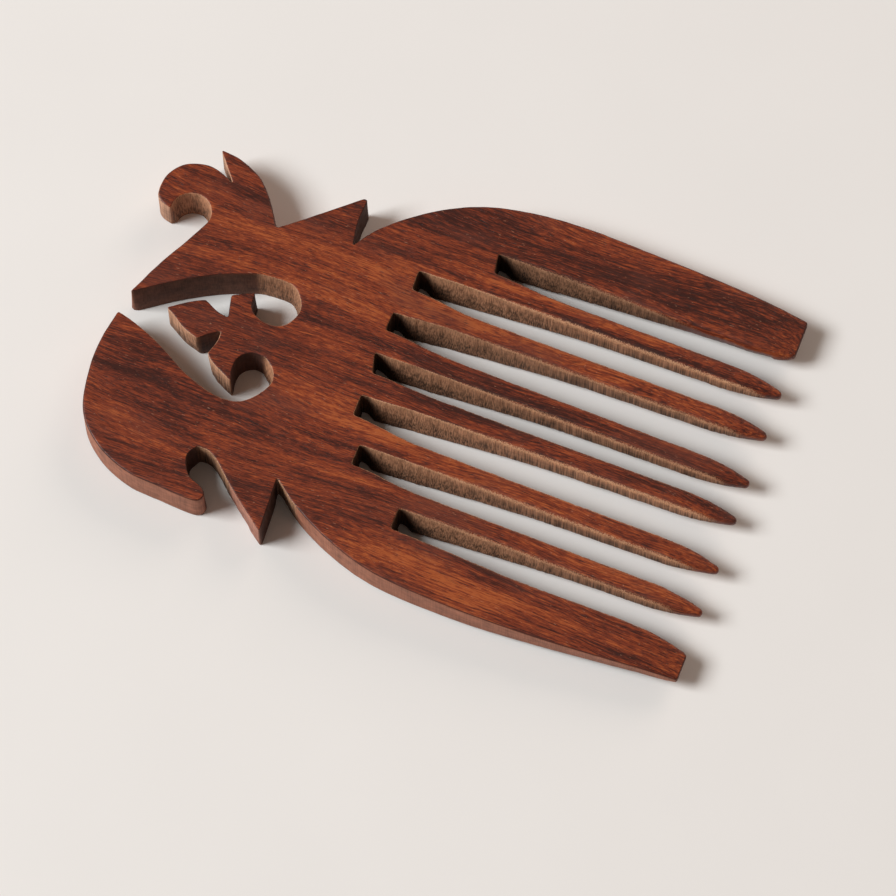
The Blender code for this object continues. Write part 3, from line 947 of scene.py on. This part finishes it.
def rosewood():
    """The comb's wood: oiled faces and bare walls, told apart by the mesh's wall values."""
    graph = Graph("oiled_rosewood")
    place = graph.place()
    grain = bent_grain(graph, place)
    face, face_height = face_wood(graph, place, grain)
    wall, wall_height = wall_wood(graph, place, grain)
    speckle = graph.noise(place, SPECKLE)
    share = graph.attribute("wall")
    fuzz = graph.attribute("fuzz")

    ragged = weighted(graph, share, speckle, between_ends(graph, fuzz, RAGGEDNESS))
    in_wall = graph.remap(graph.value("MULTIPLY_ADD", fuzz, FUZZ_SPREAD, ragged), *BARE_FROM)
    colour = graph.mix(in_wall, face, wall)
    colour = with_painted_edge_shade(graph, colour, share, fuzz)
    colour = with_fibres(graph, colour, share, fuzz, speckle)
    graph.feed(graph.shader.inputs["Base Color"], colour)

    roughness = between_ends(graph, graph.noise(grain, GLOSS), FACE_ROUGHNESS)
    roughness = graph.value("ADD", roughness, graph.value("MULTIPLY", in_wall, BARE_ROUGHER))
    graph.feed(graph.shader.inputs["Roughness"], roughness)
    graph.shader.inputs["Specular IOR Level"].default_value = WOOD_SPECULAR

    heights = {0: in_wall, 2: face_height, 3: wall_height}
    height = graph.node("ShaderNodeMix", heights, data_type="FLOAT").outputs[0]
    height = graph.value("MULTIPLY_ADD", graph.noise(place, PITS), PITS_HEIGHT, height)
    relief = {"Height": height, "Distance": BUMP_HEIGHT * MILLIMETRE, "Strength": BUMP_STRENGTH}
    bump = graph.node("ShaderNodeBump", relief)
    graph.feed(graph.shader.inputs["Normal"], bump.outputs["Normal"])
    return graph.material


def plain_floor():
    graph = Graph("pale_floor")
    colour = graph.mix(graph.noise(graph.place(), FLOOR_MOTTLE), *FLOOR_COLOURS)
    graph.feed(graph.shader.inputs["Base Color"], colour)
    graph.shader.inputs["Roughness"].default_value = FLOOR_ROUGHNESS
    graph.shader.inputs["Specular IOR Level"].default_value = FLOOR_SPECULAR
    return graph.material


# ---- The stage ----

def build_floor():
    data = bpy.data.meshes.new("floor")
    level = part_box("comb")[0][2]
    signs = ((-1, -1), (1, -1), (1, 1), (-1, 1))
    corners = [(across * FLOOR_HALF, along * FLOOR_HALF, level) for across, along in signs]
    data.from_pydata(corners, [], [(0, 1, 2, 3)])
    data.materials.append(plain_floor())
    floor = bpy.data.objects.new("floor", data)
    bpy.context.scene.collection.objects.link(floor)


def view_axes():
    """The picture's right, and the direction from the target back to the camera."""
    right = Vector((math.cos(VIEW_AZIMUTH), math.sin(VIEW_AZIMUTH), 0.0))
    level_back = Vector((math.sin(VIEW_AZIMUTH), -math.cos(VIEW_AZIMUTH), 0.0))
    back = level_back * math.cos(VIEW_ELEVATION) + Vector((0.0, 0.0, math.sin(VIEW_ELEVATION)))
    return right, back


def facing(back, right=None):
    """The turn of a camera or lamp that looks against back."""
    if right is None:
        return back.to_track_quat("Z", "Y").to_matrix().to_4x4()
    up = back.cross(right)
    return Matrix((right, up, back)).transposed().to_4x4()


def build_camera():
    right, back = view_axes()
    camera = bpy.data.objects.new("camera", bpy.data.cameras.new("camera"))
    camera.data.lens = VIEW_LENS
    camera.data.clip_start = CLIP_START
    place = (VIEW_TARGET + back * VIEW_DISTANCE) * MILLIMETRE
    camera.matrix_world = Matrix.Translation(place) @ facing(back, right)
    bpy.context.scene.collection.objects.link(camera)
    bpy.context.scene.camera = camera


def add_softbox(lamp):
    """A square lamp, placed by its share of the picture's right and near directions and its elevation."""
    right, _ = view_axes()
    near = Vector((right.y, -right.x, 0.0))
    level = (right * lamp.to_right + near * lamp.to_near).normalized()
    rise = math.radians(lamp.elevation)
    back = level * math.cos(rise) + Vector((0.0, 0.0, math.sin(rise)))
    softbox = bpy.data.objects.new(lamp.name, bpy.data.lights.new(lamp.name, "AREA"))
    softbox.data.size = lamp.size
    softbox.data.energy = lamp.power
    softbox.data.color = lamp.colour
    softbox.matrix_world = Matrix.Translation(back * lamp.distance) @ facing(back)
    bpy.context.scene.collection.objects.link(softbox)


def build_light():
    for lamp in LAMPS:
        add_softbox(lamp)
    world = bpy.data.worlds.new("studio")
    world.use_nodes = True
    background = world.node_tree.nodes["Background"]
    background.inputs["Color"].default_value = WORLD_COLOUR
    background.inputs["Strength"].default_value = WORLD_STRENGTH
    bpy.context.scene.world = world
    bpy.context.scene.view_settings.view_transform = "Standard"


build_camera()
build_light()
build_floor()
comb_wood = build_comb()
comb_wood.data.materials.append(rosewood())
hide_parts("comb")
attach(comb_wood, "root")
